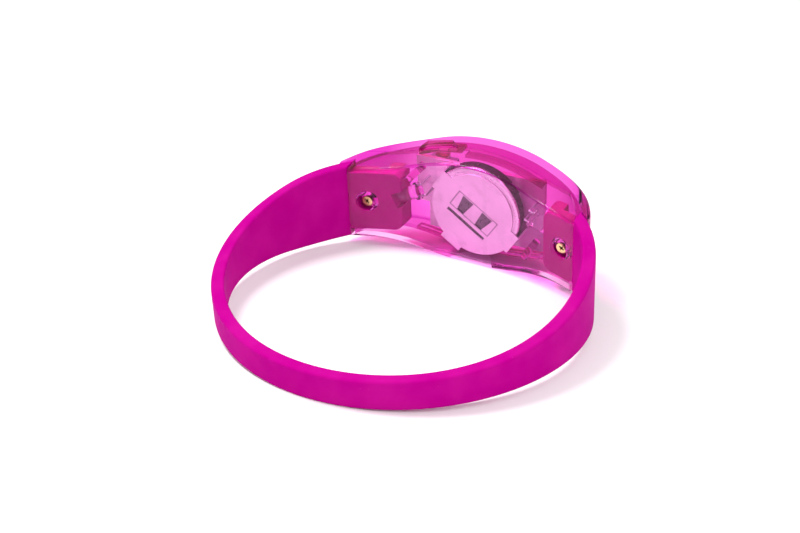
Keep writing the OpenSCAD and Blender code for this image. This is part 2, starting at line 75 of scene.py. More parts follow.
def shape(name, description, default, low, high):
    """A size that a user may change, in metres."""
    return bpy.props.FloatProperty(
        name=name,
        description=description,
        default=default,
        min=low,
        max=high,
        subtype="DISTANCE",
        unit="LENGTH",
        precision=5,
    )


def paint(name, description, default):
    """A colour that a user may change, in linear light."""
    return bpy.props.FloatVectorProperty(
        name=name, description=description, default=default, size=3, subtype="COLOR", min=0, max=1
    )


class WristbandSizes(bpy.types.PropertyGroup):
    """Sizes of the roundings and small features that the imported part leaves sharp."""

    strap_edge: shape("Strap edge", "Radius of the strap's long edges", 0.00055, 0.0001, 0.001)
    tab_edge: shape("Tab edge", "Radius of the edges of the strap's tabs", 0.0003, 0.0001, 0.0006)
    cover_edge: shape("Cover edge", "Radius around the wrist face of the rear cover", 0.0009, 0.0002, 0.0009)
    lens_edge: shape("Crest edge", "Radius around the crest of the front cover", 0.0011, 0.0002, 0.0014)
    button_edge: shape("Button edge", "Radius of the button's edges", 0.00012, 0.00002, 0.0002)
    sheet_edge: shape("Sheet edge", "Radius of the clip's sheared edges", 0.00005, 0.00001, 0.0001)
    screw_edge: shape("Screw edge", "Radius around a screw head", 0.0003, 0.0001, 0.0004)


class WristbandColours(bpy.types.PropertyGroup):
    """Colours of the main materials, in linear light."""

    silicone: paint("Silicone", "Body colour of the strap", (0.42, 0.0, 0.22))
    rear: paint("Rear cover", "Tint that the plate of the rear cover gives", (0.97, 0.60, 0.90))
    rear_wall: paint("Rear walls", "Tint that the side walls of the rear cover give", (0.80, 0.30, 0.64))
    front: paint("Front cover", "Tint that the crest of the front cover gives", (0.78, 0.14, 0.60))
    front_wall: paint("Front walls", "Tint that the side walls of the front cover give", (0.66, 0.07, 0.45))
    button: paint("Button", "Tint of the button's face", (0.74, 0.20, 0.46))
    button_wall: paint("Button sides", "Tint of the button's sides", (0.46, 0.05, 0.22))
    steel: paint("Steel", "Colour of the clip and the cell", (0.82, 0.80, 0.79))
    brass: paint("Brass", "Colour of the screws", (0.80, 0.60, 0.30))
    board: paint("Board", "Colour of the board's mask", (0.86, 0.84, 0.82))
    floor: paint("Floor", "Colour of the floor", (0.92, 0.92, 0.92))


# ---------------------------------------------------------------- outlines of the housing, in millimetres
FACE_Y = -27.6
BACK_R = 58.26
FACE_CY = FACE_Y + BACK_R
PLATE_T, WALL_T, LENS_T = 1.1, 1.0, 1.8
SPLIT_DEPTH, SPLIT_INSET = 7.0, 3.0
CREST_R, CREST_CY = 100.0, 60.0
SHOULDER_R, SHOULDER_X, SHOULDER_Y = 21.0, 8.0, -18.6
DRAFT = math.radians(4.5)
EDGE_RUN, EDGE_R = 23.0, 44.83
MID_H, END_H = 11.5, 8.5
LIP_X = 28.0
STRAP_IN_R = 34.0
GAP = 0.05
# Tabs: the lengths at the two ends, the depths of a tab and of its rib, the half height and the corner
TAB_LENGTHS = {1: 10.4, -1: 8.0}
TAB_NEAR, TAB_FAR, RIB_NEAR, RIB_FAR = 1.15, 3.75, 3.5, 5.95
TAB_HALF, TAB_CORNER = 6.8, 2.0
# Screws: the head, its recess, the cup and its floor, the tab's hole, the post and the two bores
HEAD_R, HEAD_H, SHANK_R, ROOT_R, PITCH = 1.3, 0.9, 0.8, 0.62, 0.5
RECESS_R, CUP_R, SEAT_T, TAB_HOLE_R = 1.85, 2.25, 0.8, 2.35
POST_R, SHANK_BORE_R, THREAD_BORE_R = 2.1, 0.85, 0.82
# Board pegs: the radius and the places along X and Z
PEG_R = 0.8
PEGS = ((13.7, 5.8), (-12.8, -6.0))
# Tongue inside the parting line: its reach, thickness and half length, and where it stops for the button
TONGUE_BACK, TONGUE_T, TONGUE_HALF, TONGUE_STOP = 1.4, 0.7, 15, 3.6
# Button: the centre, the half length, the depth behind the parting line, the width and its two slants
BUTTON_X, BUTTON_HALF, BUTTON_BACK, BUTTON_W = 10, 4.3, 2.5, 1.9
BUTTON_SLANTS = (0.5, 2)
# Light emitters: the places of the flanges, the turns, and the radii and lengths
BULB_AT = {1: (12.3, -29.5, 2.4), -1: (12.9, -30.6, 1.5)}
BULB_LEAN = {1: 10, -1: 0}
BULB_FALL = 24
BULB_R, BULB_LEN, FLANGE_R, FLANGE_T = 1.5, 5.3, 1.9, 0.9
# Clip and cell, in metres and radians
CLIP_TURN = math.radians(-34.5)
CELL_SHADE_R = 0.0065
WELD_X = -0.0036


def face(x, depth=0.0):
    """Y of the wrist face at x, or of the arc that lies depth in front of it."""
    return FACE_CY - math.sqrt((BACK_R + depth) ** 2 - x * x)


def crest(x, inset=0.0):
    """Y of the front cover's outline at x, brought in by inset."""
    big, small = CREST_R - inset, SHOULDER_R - inset
    turn = SHOULDER_X / (CREST_R - SHOULDER_R)
    if abs(x) <= big * turn:
        return CREST_CY - math.sqrt(big * big - x * x)
    return SHOULDER_Y - math.sqrt(max(small * small - (abs(x) - SHOULDER_X) ** 2, 0.0))


def parting(x):
    """Y where the rear cover ends and the front cover starts."""
    return min(max(face(x, SPLIT_DEPTH), crest(x, SPLIT_INSET)), face(x, PLATE_T))


def hump(x):
    """Half height of the housing at the wrist face's middle plane."""
    x = abs(x)
    if x < EDGE_RUN / 2:
        return MID_H - EDGE_R + math.sqrt(EDGE_R * EDGE_R - x * x)
    if x < EDGE_RUN:
        return END_H + EDGE_R - math.sqrt(EDGE_R * EDGE_R - (EDGE_RUN - x) ** 2)
    return END_H


def wall(x, y, inset=0.0):
    """Z of the upper side wall at x and y, brought in by inset."""
    return hump(x) / math.cos(DRAFT) + (FACE_Y - y) * math.tan(DRAFT) - inset


def strap_half(y):
    """Half height of the strap at y: flat, then crowned, then hollow towards the back."""
    front, back, run = 8.3, 3.0, 60.0
    turn = 2 * math.atan((front - back) / run)
    hollow = 0.8 * run / math.sin(turn)
    crown = 0.25 * hollow
    start, end = STRAP_OUT_R + 0.2 - run, STRAP_OUT_R + 0.2
    if y < start:
        return front
    if y < end - hollow * math.sin(turn):
        return front - crown + math.sqrt(crown * crown - (y - start) ** 2)
    return back + hollow - math.sqrt(hollow * hollow - (end - y) ** 2)


# ---------------------------------------------------------------- mesh helpers
def rounded(corners, steps=4):
    """An outline through corners of (a, b, radius), each one rounded in the same number of steps."""
    out = []
    for i, (a, b, radius) in enumerate(corners):
        point = Vector((a, b))
        back = Vector(corners[i - 1][:2]) - point
        ahead = Vector(corners[(i + 1) % len(corners)][:2]) - point
        half = back.angle(ahead) / 2
        cut = min(radius / math.tan(half), 0.45 * back.length, 0.45 * ahead.length)
        centre = point + (back.normalized() + ahead.normalized()).normalized() * (cut / math.cos(half))
        start = point + back.normalized() * cut - centre
        end = point + ahead.normalized() * cut - centre
        sweep = math.pi - 2 * half
        for k in range(steps + 1):
            share = k / steps
            out.append(
                centre
                + start * (math.sin((1 - share) * sweep) / math.sin(sweep))
                + end * (math.sin(share * sweep) / math.sin(sweep))
            )
    return out


def spread(low, high, count):
    """Evenly spaced stations between low and high, without the two ends."""
    inner = [low + (high - low) * i / count for i in range(count + 1)]
    return [s for s in inner if low < s < high]


def wrapped(stations, outline):
    """A closed solid: a grid wrapped round outline(station), and filled at its first and last station."""
    bm = bmesh.new()
    loops = [outline(s) for s in stations]
    around, along = len(loops[0]), len(loops) - 1
    made = bmesh.ops.create_grid(bm, x_segments=around, y_segments=along, size=0.5)["verts"]
    for v in made:
        i, j = round((v.co.x + 0.5) * around) % around, round((v.co.y + 0.5) * along)
        v.co = loops[j][i]
    bmesh.ops.remove_doubles(bm, verts=bm.verts, dist=1e-5)
    bmesh.ops.holes_fill(bm, edges=[e for e in bm.edges if e.is_boundary], sides=0)
    bmesh.ops.recalc_face_normals(bm, faces=bm.faces)
    return bm


def turned(profile, steps=64):
    """A solid of revolution about Z from (radius, height) points, the first and last on the axis."""
    bm = bmesh.new()
    verts = [bm.verts.new((r, 0, z)) for r, z in profile]
    edges = [bm.edges.new(pair) for pair in zip(verts, verts[1:])]
    bmesh.ops.spin(
        bm, geom=verts + edges, cent=(0, 0, 0), axis=(0, 0, 1), angle=math.tau, steps=steps, use_merge=True
    )
    bmesh.ops.remove_doubles(bm, verts=bm.verts, dist=1e-5)
    bmesh.ops.recalc_face_normals(bm, faces=bm.faces)
    return bm


def quarter(radius, edge):
    """Points (radius, height) of a rounding of size edge at the start of a turned shape."""
    turns = [math.radians(d) for d in range(0, 91, 15)]
    return [(radius - edge * (1 - math.sin(a)), edge * (1 - math.cos(a))) for a in turns]


def rod(radius, length, steps=32):
    """A plain tool for drilling, along Z."""
    return turned([(0, 0), (radius, 0), (radius, length), (0, length)], steps)


def prism(outline, height):
    """A prism along Z from a closed outline of (x, y) points."""
    bm = bmesh.new()
    base = bm.faces.new([bm.verts.new((x, y, 0)) for x, y in outline])
    made = bmesh.ops.extrude_face_region(bm, geom=[base])["geom"]
    bmesh.ops.translate(bm, vec=(0, 0, height), verts=[v for v in made if isinstance(v, bmesh.types.BMVert)])
    bmesh.ops.recalc_face_normals(bm, faces=bm.faces)
    return bm


def moved(bm, matrix):
    """The same mesh after a transform."""
    bmesh.ops.transform(bm, matrix=matrix, verts=bm.verts)
    if matrix.determinant() < 0:
        bmesh.ops.reverse_faces(bm, faces=bm.faces)
    return bm


def forward(x, y, z):
    """Places a shape drawn along +Z so that it runs from (x, y, z) towards -Y."""
    return Matrix.Translation((x, y, z)) @ Matrix.Rotation(math.radians(90), 4, "X")


def from_cad(node, edge, segments=2, angle=30):
    """A merged copy of a CAD node's mesh in millimetres, with its sharp edges rounded."""
    bm = bmesh.new()
    bm.from_mesh(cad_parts[node].data)
    moved(bm, Matrix.Scale(1 / MM, 4))
    bmesh.ops.remove_doubles(bm, verts=bm.verts, dist=1e-3)
    bmesh.ops.dissolve_limit(bm, angle_limit=math.radians(0.6), verts=bm.verts, edges=bm.edges)
    bmesh.ops.recalc_face_normals(bm, faces=bm.faces)
    sharp = [e for e in bm.edges if len(e.link_faces) == 2 and e.calc_face_angle() > math.radians(angle)]
    bmesh.ops.bevel(
        bm,
        geom=sharp,
        offset=edge,
        segments=segments,
        profile=0.5,
        affect="EDGES",
        material=-1,
        clamp_overlap=True,
    )
    return bm


def added(bm, other):
    """bm with the mesh other put into it as a further shell."""
    mesh = bpy.data.meshes.new("part")
    other.to_mesh(mesh)
    other.free()
    bm.from_mesh(mesh)
    bpy.data.meshes.remove(mesh)
    return bm


def loose(bm, name="shape"):
    """An object on the scene that holds bm."""
    mesh = bpy.data.meshes.new(name)
    bm.to_mesh(mesh)
    bm.free()
    piece = bpy.data.objects.new(name, mesh)
    bpy.context.scene.collection.objects.link(piece)
    return piece


def carved(piece, tool, operation="DIFFERENCE"):
    """piece after the closed shape in the mesh tool is cut from it, joined to it or kept from it."""
    cutter = loose(tool, "tool")
    step = piece.modifiers.new("carve", "BOOLEAN")
    step.operation, step.solver, step.object = operation, "EXACT", cutter
    view = bpy.context.evaluated_depsgraph_get()
    mesh = bpy.data.meshes.new_from_object(piece.evaluated_get(view))
    piece.modifiers.clear()
    old, piece.data = piece.data, mesh
    bpy.data.meshes.remove(old)
    bpy.data.objects.remove(cutter)
    return piece


def healed(mesh):
    """Merges doubled corners of a mesh in millimetres and closes the small gaps that carving leaves."""
    bm = bmesh.new()
    bm.from_mesh(mesh)
    bmesh.ops.remove_doubles(bm, verts=bm.verts, dist=2e-3)
    bmesh.ops.dissolve_degenerate(bm, edges=bm.edges, dist=1e-4)
    bmesh.ops.holes_fill(bm, edges=[e for e in bm.edges if e.is_boundary], sides=0)
    bm.to_mesh(mesh)
    bm.free()


def finished(piece, name, body, material, slot, *nodes, angle=35):
    """Scales a piece to metres, shades it, gives it its finish and puts it on its body."""
    piece.name = piece.data.name = name
    healed(piece.data)
    piece.data.transform(Matrix.Scale(MM, 4))
    piece.data.materials.clear()
    piece.data.materials.append(material)
    piece.data.shade_smooth()
    piece.data.set_sharp_from_angle(angle=math.radians(angle))
    weigh = piece.modifiers.new("even_normals", "WEIGHTED_NORMAL")
    weigh.keep_sharp, weigh.weight = True, 50
    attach(piece, body)
    if nodes:
        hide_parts(*nodes)
    return piece


# ---------------------------------------------------------------- shader helpers
class Link:
    """A shader socket that takes part in Python expressions."""

    def __init__(self, sheet, socket):
        self.sheet, self.socket = sheet, socket

    def math(self, operation, *values):
        return self.sheet.node("Math", {"operation": operation}, dict(enumerate(values)))

    def __add__(self, other):
        return self.math("ADD", self, other)

    __radd__ = __add__

    def __sub__(self, other):
        return self.math("SUBTRACT", self, other)

    def __rsub__(self, other):
        return self.math("SUBTRACT", other, self)

    def __mul__(self, other):
        return self.math("MULTIPLY", self, other)

    __rmul__ = __mul__

    def __pow__(self, other):
        return self.math("POWER", self, other)

    def __abs__(self):
        return self.math("ABSOLUTE", self)

    def over(self, low, high):
        """0 at low and 1 at high, with a soft ramp between; low may be the larger."""
        ramp = {"Value": self, "From Min": low, "From Max": high}
        return self.sheet.node("MapRange", {"interpolation_type": "SMOOTHSTEP"}, ramp)


class Finish:
    """One material and the nodes that make it."""

    def __init__(self, name):
        self.material = bpy.data.materials.new(name)
        self.material.use_nodes = True
        self.nodes, self.links = self.material.node_tree.nodes, self.material.node_tree.links
        self.nodes.clear()
        self.place = None

    def node(self, kind, settings=None, inputs=None, output=0):
        """A node of a kind, with its settings first and then the values or links of its sockets."""
        made = self.nodes.new("ShaderNode" + kind)
        for key, value in (settings or {}).items():
            setattr(made, key, value)
        for key, value in (inputs or {}).items():
            if isinstance(value, Link):
                self.links.new(value.socket, made.inputs[key])
            else:
                made.inputs[key].default_value = value
        return Link(self, made.outputs[output])

    def at(self, axis=None):
        """The place on the object in metres, or one of its axes."""
        if self.place is None:
            self.place = self.node("TexCoord", output="Object")
        return self.place if axis is None else self.node("SeparateXYZ", None, {0: self.place}, axis)

    def local(self, location=(0, 0, 0), rotation=(0, 0, 0), scale=(1, 1, 1)):
        """The place on the object as seen from a frame of its own."""
        return self.node(
            "Mapping",
            {"vector_type": "TEXTURE"},
            {"Vector": self.at(), "Location": location, "Rotation": rotation, "Scale": scale},
        )

    def grain(self, scale, detail=4.0, rough=0.55, stretch=(1, 1, 1)):
        """Noise of a feature size in metres, about 0.5."""
        place = self.local(scale=stretch) if stretch != (1, 1, 1) else self.at()
        return self.node(
            "TexNoise",
            {"noise_dimensions": "3D"},
            {"Vector": place, "Scale": 1 / scale, "Detail": detail, "Roughness": rough},
        )

    def specks(self, scale, size):
        """1 in small specks a scale apart and 0 elsewhere."""
        cells = self.node("TexVoronoi", None, {"Vector": self.at(), "Scale": 1 / scale})
        return cells.over(size, size * 0.5)

    def mix(self, share, first, second):
        """A colour between two colours."""
        made = self.node("Mix", {"data_type": "RGBA"}, {0: share}, 2)
        for key, value in ((6, first), (7, second)):
            target = made.socket.node.inputs[key]
            if isinstance(value, Link):
                self.links.new(value.socket, target)
            else:
                target.default_value = (*value, 1)
        return made

    def bump(self, height, depth, strength=1.0):
        """A normal from a height of 0 to 1, depth metres high."""
        return self.node("Bump", None, {"Strength": strength, "Distance": depth, "Height": height})

    def shader(self, **sockets):
        """The Principled shader with these sockets."""
        named = {key.replace("_", " "): value for key, value in sockets.items()}
        made = self.nodes.new("ShaderNodeBsdfPrincipled")
        for key, value in named.items():
            target = made.inputs[key]
            if isinstance(value, Link):
                self.links.new(value.socket, target)
            elif key.endswith(("Color", "Tint")) or key == "Subsurface Radius":
                target.default_value = (*value, 1) if len(target.default_value) == 4 else value
            else:
                target.default_value = value
        return Link(self, made.outputs[0])

    def lit_through(self, glass, tint):
        """A glass shader that lets lamp light pass straight through with a tint."""
        passed = self.node("BsdfTransparent", None, {"Color": (*tint, 1)})
        lamp = self.node("LightPath", None, None, "Is Shadow Ray")
        return self.node("MixShader", None, {0: lamp, 1: glass, 2: passed})

    def done(self, surface):
        """The material, with surface on its output."""
        self.links.new(surface.socket, self.nodes.new("ShaderNodeOutputMaterial").inputs["Surface"])
        return self.material


def scaled(colour, factor):
    """A colour times a number, kept in range."""
    return tuple(min(1.0, c * factor) for c in colour)


def silicone(colour):
    """Moulded silicone: satin, a little translucent, with faint flow, dust and a fine moulded grain."""
    f = Finish("magenta_silicone")
    flow, grain, dust = f.grain(0.009, 3), f.grain(0.00025, 2), f.specks(0.0016, 0.05)
    tone = f.mix(flow.over(0.3, 0.7), scaled(colour, 0.94), (colour[0] * 1.06, 0.004, colour[2] * 1.04))
    tone = f.mix(dust * 0.12, tone, (0.9, 0.35, 0.75))
    return f.done(
        f.shader(
            Base_Color=tone,
            Roughness=0.50 + flow * 0.10 + dust * 0.2,
            Subsurface_Weight=0.12,
            Subsurface_Radius=(1.0, 0.15, 0.7),
            Subsurface_Scale=0.0012,
            IOR=1.05,
            Specular_Tint=(1.0, 0.12, 0.75),
            Normal=f.bump(grain + flow * 2, 0.000012, 0.6),
        )
    )


def clear_wall(name, tint, deep, line_x=None, haze=0.03, gloss=0.15):
    """Clear tinted moulding: deeper where it is seen edge on, with flow lines, scuffs, a weld line, a dark
    parting seam, and painted shade as dark outlines along its fillets and silhouettes.
    """
    f = Finish(name)
    flow = f.grain(0.012, 3, stretch=(1, 1, 0.35))
    scuffs = f.grain(0.0009, 5, 0.7, stretch=(6, 1, 1)).over(0.60, 0.72)
    height = flow
    tone = f.mix(flow.over(0.3, 0.7), scaled(tint, 0.97), scaled(tint, 1.04))
    rough = haze + flow * 0.03 + scuffs * 0.05
    if line_x is not None:
        weld = abs(f.at(0) - line_x).over(0.00045, 0.00005)
        tone = f.mix(weld * 0.35, tone, scaled(tint, 0.8))
        height = height + weld * 0.6
        rough = rough + weld * 0.08
    turn = abs(f.node("SeparateXYZ", None, {0: f.node("TexCoord", output="Normal")}, 1))
    x, y, z = f.at(0), f.at(1) - FACE_CY * MM, f.at(2)
    off_screw = abs(x) - SCREW_X * MM
    open_wall = ((off_screw * off_screw + z * z) ** 0.5).over(0.0026, 0.0030)
    sides = turn.over(0.85, 0.35) * open_wall
    seam = abs((x * x + y * y) ** 0.5 - (BACK_R + SPLIT_DEPTH) * MM).over(0.00022, 0.00008) * sides
    # Painted shade: dark outlines along the fillets (corner) and where the surface is seen at a grazing
    # angle, mixed with the dark parting seam into edge.
    corner = abs(turn - 0.6).over(0.38, 0.12) * open_wall
    grazing = f.node("LayerWeight", None, {"Blend": 0.5}, "Facing").over(0.75, 0.98)
    edge = grazing.math("MAXIMUM", grazing.math("MAXIMUM", grazing, seam), corner)
    tone = f.mix(sides * (z.over(-0.004, 0.004) * 0.3 + 0.7), tone, deep)
    tone = f.mix(edge * 0.95, tone, (deep[0] * 0.8, deep[1] * 0.05, deep[2] * 0.8))
    glass = f.shader(
        Base_Color=tone,
        Roughness=rough,
        Transmission_Weight=1.0,
        IOR=1.08,
        Coat_Weight=gloss,
        Coat_Roughness=0.14,
        Normal=f.bump(height, 0.00002, 0.5),
    )
    return f.done(f.lit_through(glass, tint))


def clear_epoxy():
    """Water-clear cast epoxy with faint ripples, and a painted reflection of the magenta surroundings along
    its edges.
    """
    f = Finish("clear_epoxy")
    ripple = f.grain(0.0012, 2)
    tone = f.mix(ripple.over(0.3, 0.7), (0.97, 0.88, 0.95), (1.0, 0.95, 0.99))
    # Painted reflection: the epoxy turns magenta where it is seen at a grazing angle, for the magenta
    # surroundings that it bends into view.
    grazing = f.node("LayerWeight", None, {"Blend": 0.5}, "Facing").over(0.6, 0.95)
    tone = f.mix(grazing * 0.7, tone, (0.85, 0.42, 0.72))
    glass = f.shader(
        Base_Color=tone,
        Roughness=0.02 + ripple * 0.03,
        Transmission_Weight=1.0,
        IOR=1.22,
        Coat_Weight=0.8,
        Coat_Roughness=0.05,
        Normal=f.bump(ripple, 0.00006, 0.6),
    )
    return f.done(f.lit_through(glass, (0.95, 0.93, 0.95)))


def metal(name, colour, rough=0.3, wear=0.15, size=0.0004, painted_shade=None):
    """Metal with a fine grain and spots of tarnish; the last argument marks where shade is painted on it."""
    f = Finish(name)
    lines = f.grain(size, 5, 0.6)
    spots = f.grain(0.003, 4).over(0.5, 0.75)
    tone = f.mix(spots * wear, f.mix(lines, scaled(colour, 0.86), scaled(colour, 1.08)), scaled(colour, 0.55))
    if painted_shade:
        # Painted shade: darkened to an eighth of the colour where the last argument marks it.
        tone = f.mix(painted_shade(f), tone, scaled(colour, 0.12))
    return f.done(
        f.shader(
            Base_Color=tone,
            Metallic=1.0,
            Roughness=rough + lines * 0.12 + spots * 0.12,
            Normal=f.bump(lines, 0.00001, 0.5),
        )
    )


def plastic(name, colour, rough=0.45, grit=0.0002):
    """Opaque moulded or cast plastic with a fine grain and slight mottling."""
    f = Finish(name)
    fine, broad = f.grain(grit, 3), f.grain(grit * 9, 3)
    tone = f.mix(broad.over(0.35, 0.65), scaled(colour, 0.82), scaled(colour, 1.12))
    return f.done(
        f.shader(
            Base_Color=tone,
            Roughness=rough + broad * 0.12,
            Normal=f.bump(fine + broad, 0.00001, 0.6),
        )
    )


class WristbandPiece(bpy.types.Operator):
    """Shared parts of the operators that build the pieces."""

    bl_idname = "wristband.piece"
    bl_label = "Wristband piece"

    @property
    def sizes(self):
        return bpy.context.scene.wristband_sizes

    @property
    def colours(self):
        return bpy.context.scene.wristband_colours


# ---------------------------------------------------------------- strap
def strap_loop(share, edge):
    """The strap's rounded section at a share of the way round from one end to the other."""
    inner_end = math.asin((WRIST_LIMIT + GAP) / STRAP_IN_R)
    outer_end = math.asin((WRIST_LIMIT + GAP) / STRAP_OUT_R)
    thick = STRAP_OUT_R - STRAP_IN_R

    def on_ring(depth, z):
        part = depth / thick
        low = inner_end + (outer_end - inner_end) * part
        turn = low + (math.tau - 2 * low) * share
        r = STRAP_IN_R + depth
        return Vector((r * math.sin(turn), -r * math.cos(turn), z))

    half = strap_half(on_ring(thick / 2, 0).y)
    corners = [(0, half, edge), (thick, half, edge), (thick, -half, edge), (0, -half, edge)]
    return [on_ring(a, b) for a, b in rounded(corners, 5)]


def tab_loop(x, end_x, edge, deep_from, deep_to):
    """A tab's or a rib's section at x: it is rounded towards its end in outline and in thickness."""
    run = x - end_x
    bend = TAB_CORNER - math.sqrt(max(TAB_CORNER**2 - max(TAB_CORNER - run, 0) ** 2, 0))
    lip = edge - math.sqrt(max(edge**2 - max(edge - run, 0) ** 2, 0))
    half = TAB_HALF - bend - (lip if run < edge else 0)
    near = face(x, deep_from) - lip
    far = face(x, deep_to)
    if deep_to == TAB_FAR:
        far = max(far, -math.sqrt(STRAP_OUT_R**2 - x * x))
    far += lip
    corners = [(near, half, edge), (far, half, edge), (far, -half, edge), (near, -half, edge)]
    return [Vector((x, a, b)) for a, b in rounded(corners, 4)]


def bulb_frame(side):
    """Where a light emitter sits: its own Z runs from the flange to the dome."""
    place = (
        Matrix.Translation(BULB_AT[side])
        @ Matrix.Rotation(math.radians(BULB_LEAN[side]), 4, "Z")
        @ Matrix.Rotation(math.radians(BULB_FALL), 4, "Y")
        @ Matrix.Rotation(math.radians(90), 4, "Y")
    )
    return place if side > 0 else Matrix.Scale(-1, 4, (1, 0, 0)) @ place


class WRISTBAND_OT_strap(WristbandPiece):
    """Builds the silicone strap with its two tabs"""

    bl_idname = "wristband.strap"
    bl_label = "Silicone strap"

    def execute(self, context):
        edge, tab_edge = self.sizes.strap_edge / MM, self.sizes.tab_edge / MM
        strap = loose(wrapped([i / 240 for i in range(241)], lambda s: strap_loop(s, edge)))
        root = WRIST_LIMIT + 0.9
        steps = [0, 0.04, 0.12, 0.22, 0.3, 0.5, 0.8, 1.2, 1.6, 2.0]
        for side, length in TAB_LENGTHS.items():
            end = WRIST_LIMIT - length
            mirrored = Matrix.Scale(side, 4, (1, 0, 0))
            stations = [end + s for s in steps] + spread(end + 2.4, root, 24)
            tab = wrapped(stations, lambda x: tab_loop(x, end, tab_edge, TAB_NEAR, TAB_FAR))
            carved(strap, moved(tab, mirrored), "UNION")
            stations = [end + 0.5 + s for s in (0, 0.1, 0.3, 1, 2, 2.9, 3.1, 3.2)]
            rib = wrapped(stations, lambda x: tab_loop(x, end, tab_edge, RIB_NEAR, RIB_FAR))
            carved(strap, moved(rib, mirrored), "UNION")
            carved(strap, moved(rod(TAB_HOLE_R, 40, 72), forward(side * SCREW_X, 0, 0)))
        pocket = turned([(0, 0), (1.7, 0), (1.7, 4.4), (1.3, 5.2), (0.7, 5.5), (0, 5.5)], 48)
        carved(strap, moved(pocket, bulb_frame(1)))
        slot = prism([(-1.7, 0), (1.7, 0), (1.7, 8), (-1.7, 8)], 5.5)
        carved(strap, moved(slot, bulb_frame(1)))
        colour = tuple(self.colours.silicone)
        finished(strap, "silicone_strap", "housing", silicone(colour), "silicone", "silicone_band")
        return {"FINISHED"}


# ---------------------------------------------------------------- covers
def rear_loop(x, edge):
    """The rear cover's channel section at x."""
    near, far, floor = face(x), parting(x), face(x, PLATE_T)
    far = min(far, floor - 0.02)
    outer = [(near, wall(x, near), edge), (far, wall(x, far), 0.1)]
    inner = [(far, wall(x, far, WALL_T), 0.1), (floor, wall(x, floor, WALL_T), 0.35)]
    half = outer + inner
    corners = half + [(a, -b, r) for a, b, r in reversed(half)]
    return [Vector((x, a, b)) for a, b in rounded(corners, 5)]


def solid_loop(x, near, far, inset, edge, near_edge=0.08):
    """A filled section at x between two depths and the side walls, brought in by inset."""
    half = [(near, wall(x, near, inset), near_edge), (far, wall(x, far, inset), edge)]
    corners = half + [(a, -b, r) for a, b, r in reversed(half)]
    return [Vector((x, a, b)) for a, b in rounded(corners, 6)]


class WRISTBAND_OT_rear_cover(WristbandPiece):
    """Builds the clear rear cover with its screw cups and board pegs"""

    bl_idname = "wristband.rear_cover"
    bl_label = "Rear cover"

    def execute(self, context):
        edge = self.sizes.cover_edge / MM
        end = WRIST_LIMIT
        stations = spread(-end, end, 150)
        cover = loose(wrapped(stations, lambda x: rear_loop(x, edge)))
        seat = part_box("cover_screws")[1].y / MM - HEAD_H
        for side in (-1, 1):
            start = face(SCREW_X) - 0.5
            deep = start - seat + SEAT_T
            cup = turned([(0, 0), (CUP_R, 0), (CUP_R, deep - 0.1), (CUP_R - 0.1, deep), (0, deep)])
            carved(cover, moved(cup, forward(side * SCREW_X, start, 0)), "UNION")
            rim = [(RECESS_R, 0), (RECESS_R, -seat - 0.15), (RECESS_R - 0.15, -seat)]
            recess = turned([(0, 0), *rim, (0, -seat)])
            carved(cover, moved(recess, forward(side * SCREW_X, 0, 0)))
            carved(cover, moved(rod(SHANK_BORE_R, 40), forward(side * SCREW_X, 0, 0)))
        board_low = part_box("circuit_board")[0].y / MM
        for x, z in PEGS:
            top = face(x) - 0.55
            deep = top - board_low + 0.7
            peg = turned([(0, 0), (PEG_R, 0), (PEG_R, deep - 0.2), (PEG_R - 0.2, deep), (0, deep)], 40)
            carved(cover, moved(peg, forward(x, top, z)), "UNION")
        tint, deep = tuple(self.colours.rear), tuple(self.colours.rear_wall)
        stuff = clear_wall("clear_magenta_rear", tint, deep, WELD_X, gloss=0.26)
        finished(cover, "rear_shell", "housing", stuff, "clear_magenta", "rear_cover")
        return {"FINISHED"}


def tongue(x, side):
    """The section at x of the tongue that lies behind the parting line of one side wall."""
    back, front = face(x, SPLIT_DEPTH - TONGUE_BACK), face(x, SPLIT_DEPTH + 0.7)
    line = face(x, SPLIT_DEPTH) - GAP
    outer = WALL_T + GAP
    inner = outer + TONGUE_T
    points = [(back, outer), (line, outer), (line, TONGUE_T)]
    points += [(front, TONGUE_T), (front, inner), (back, inner)]
    return [Vector((x, y, wall(x, y, inset) * side)) for y, inset in points]


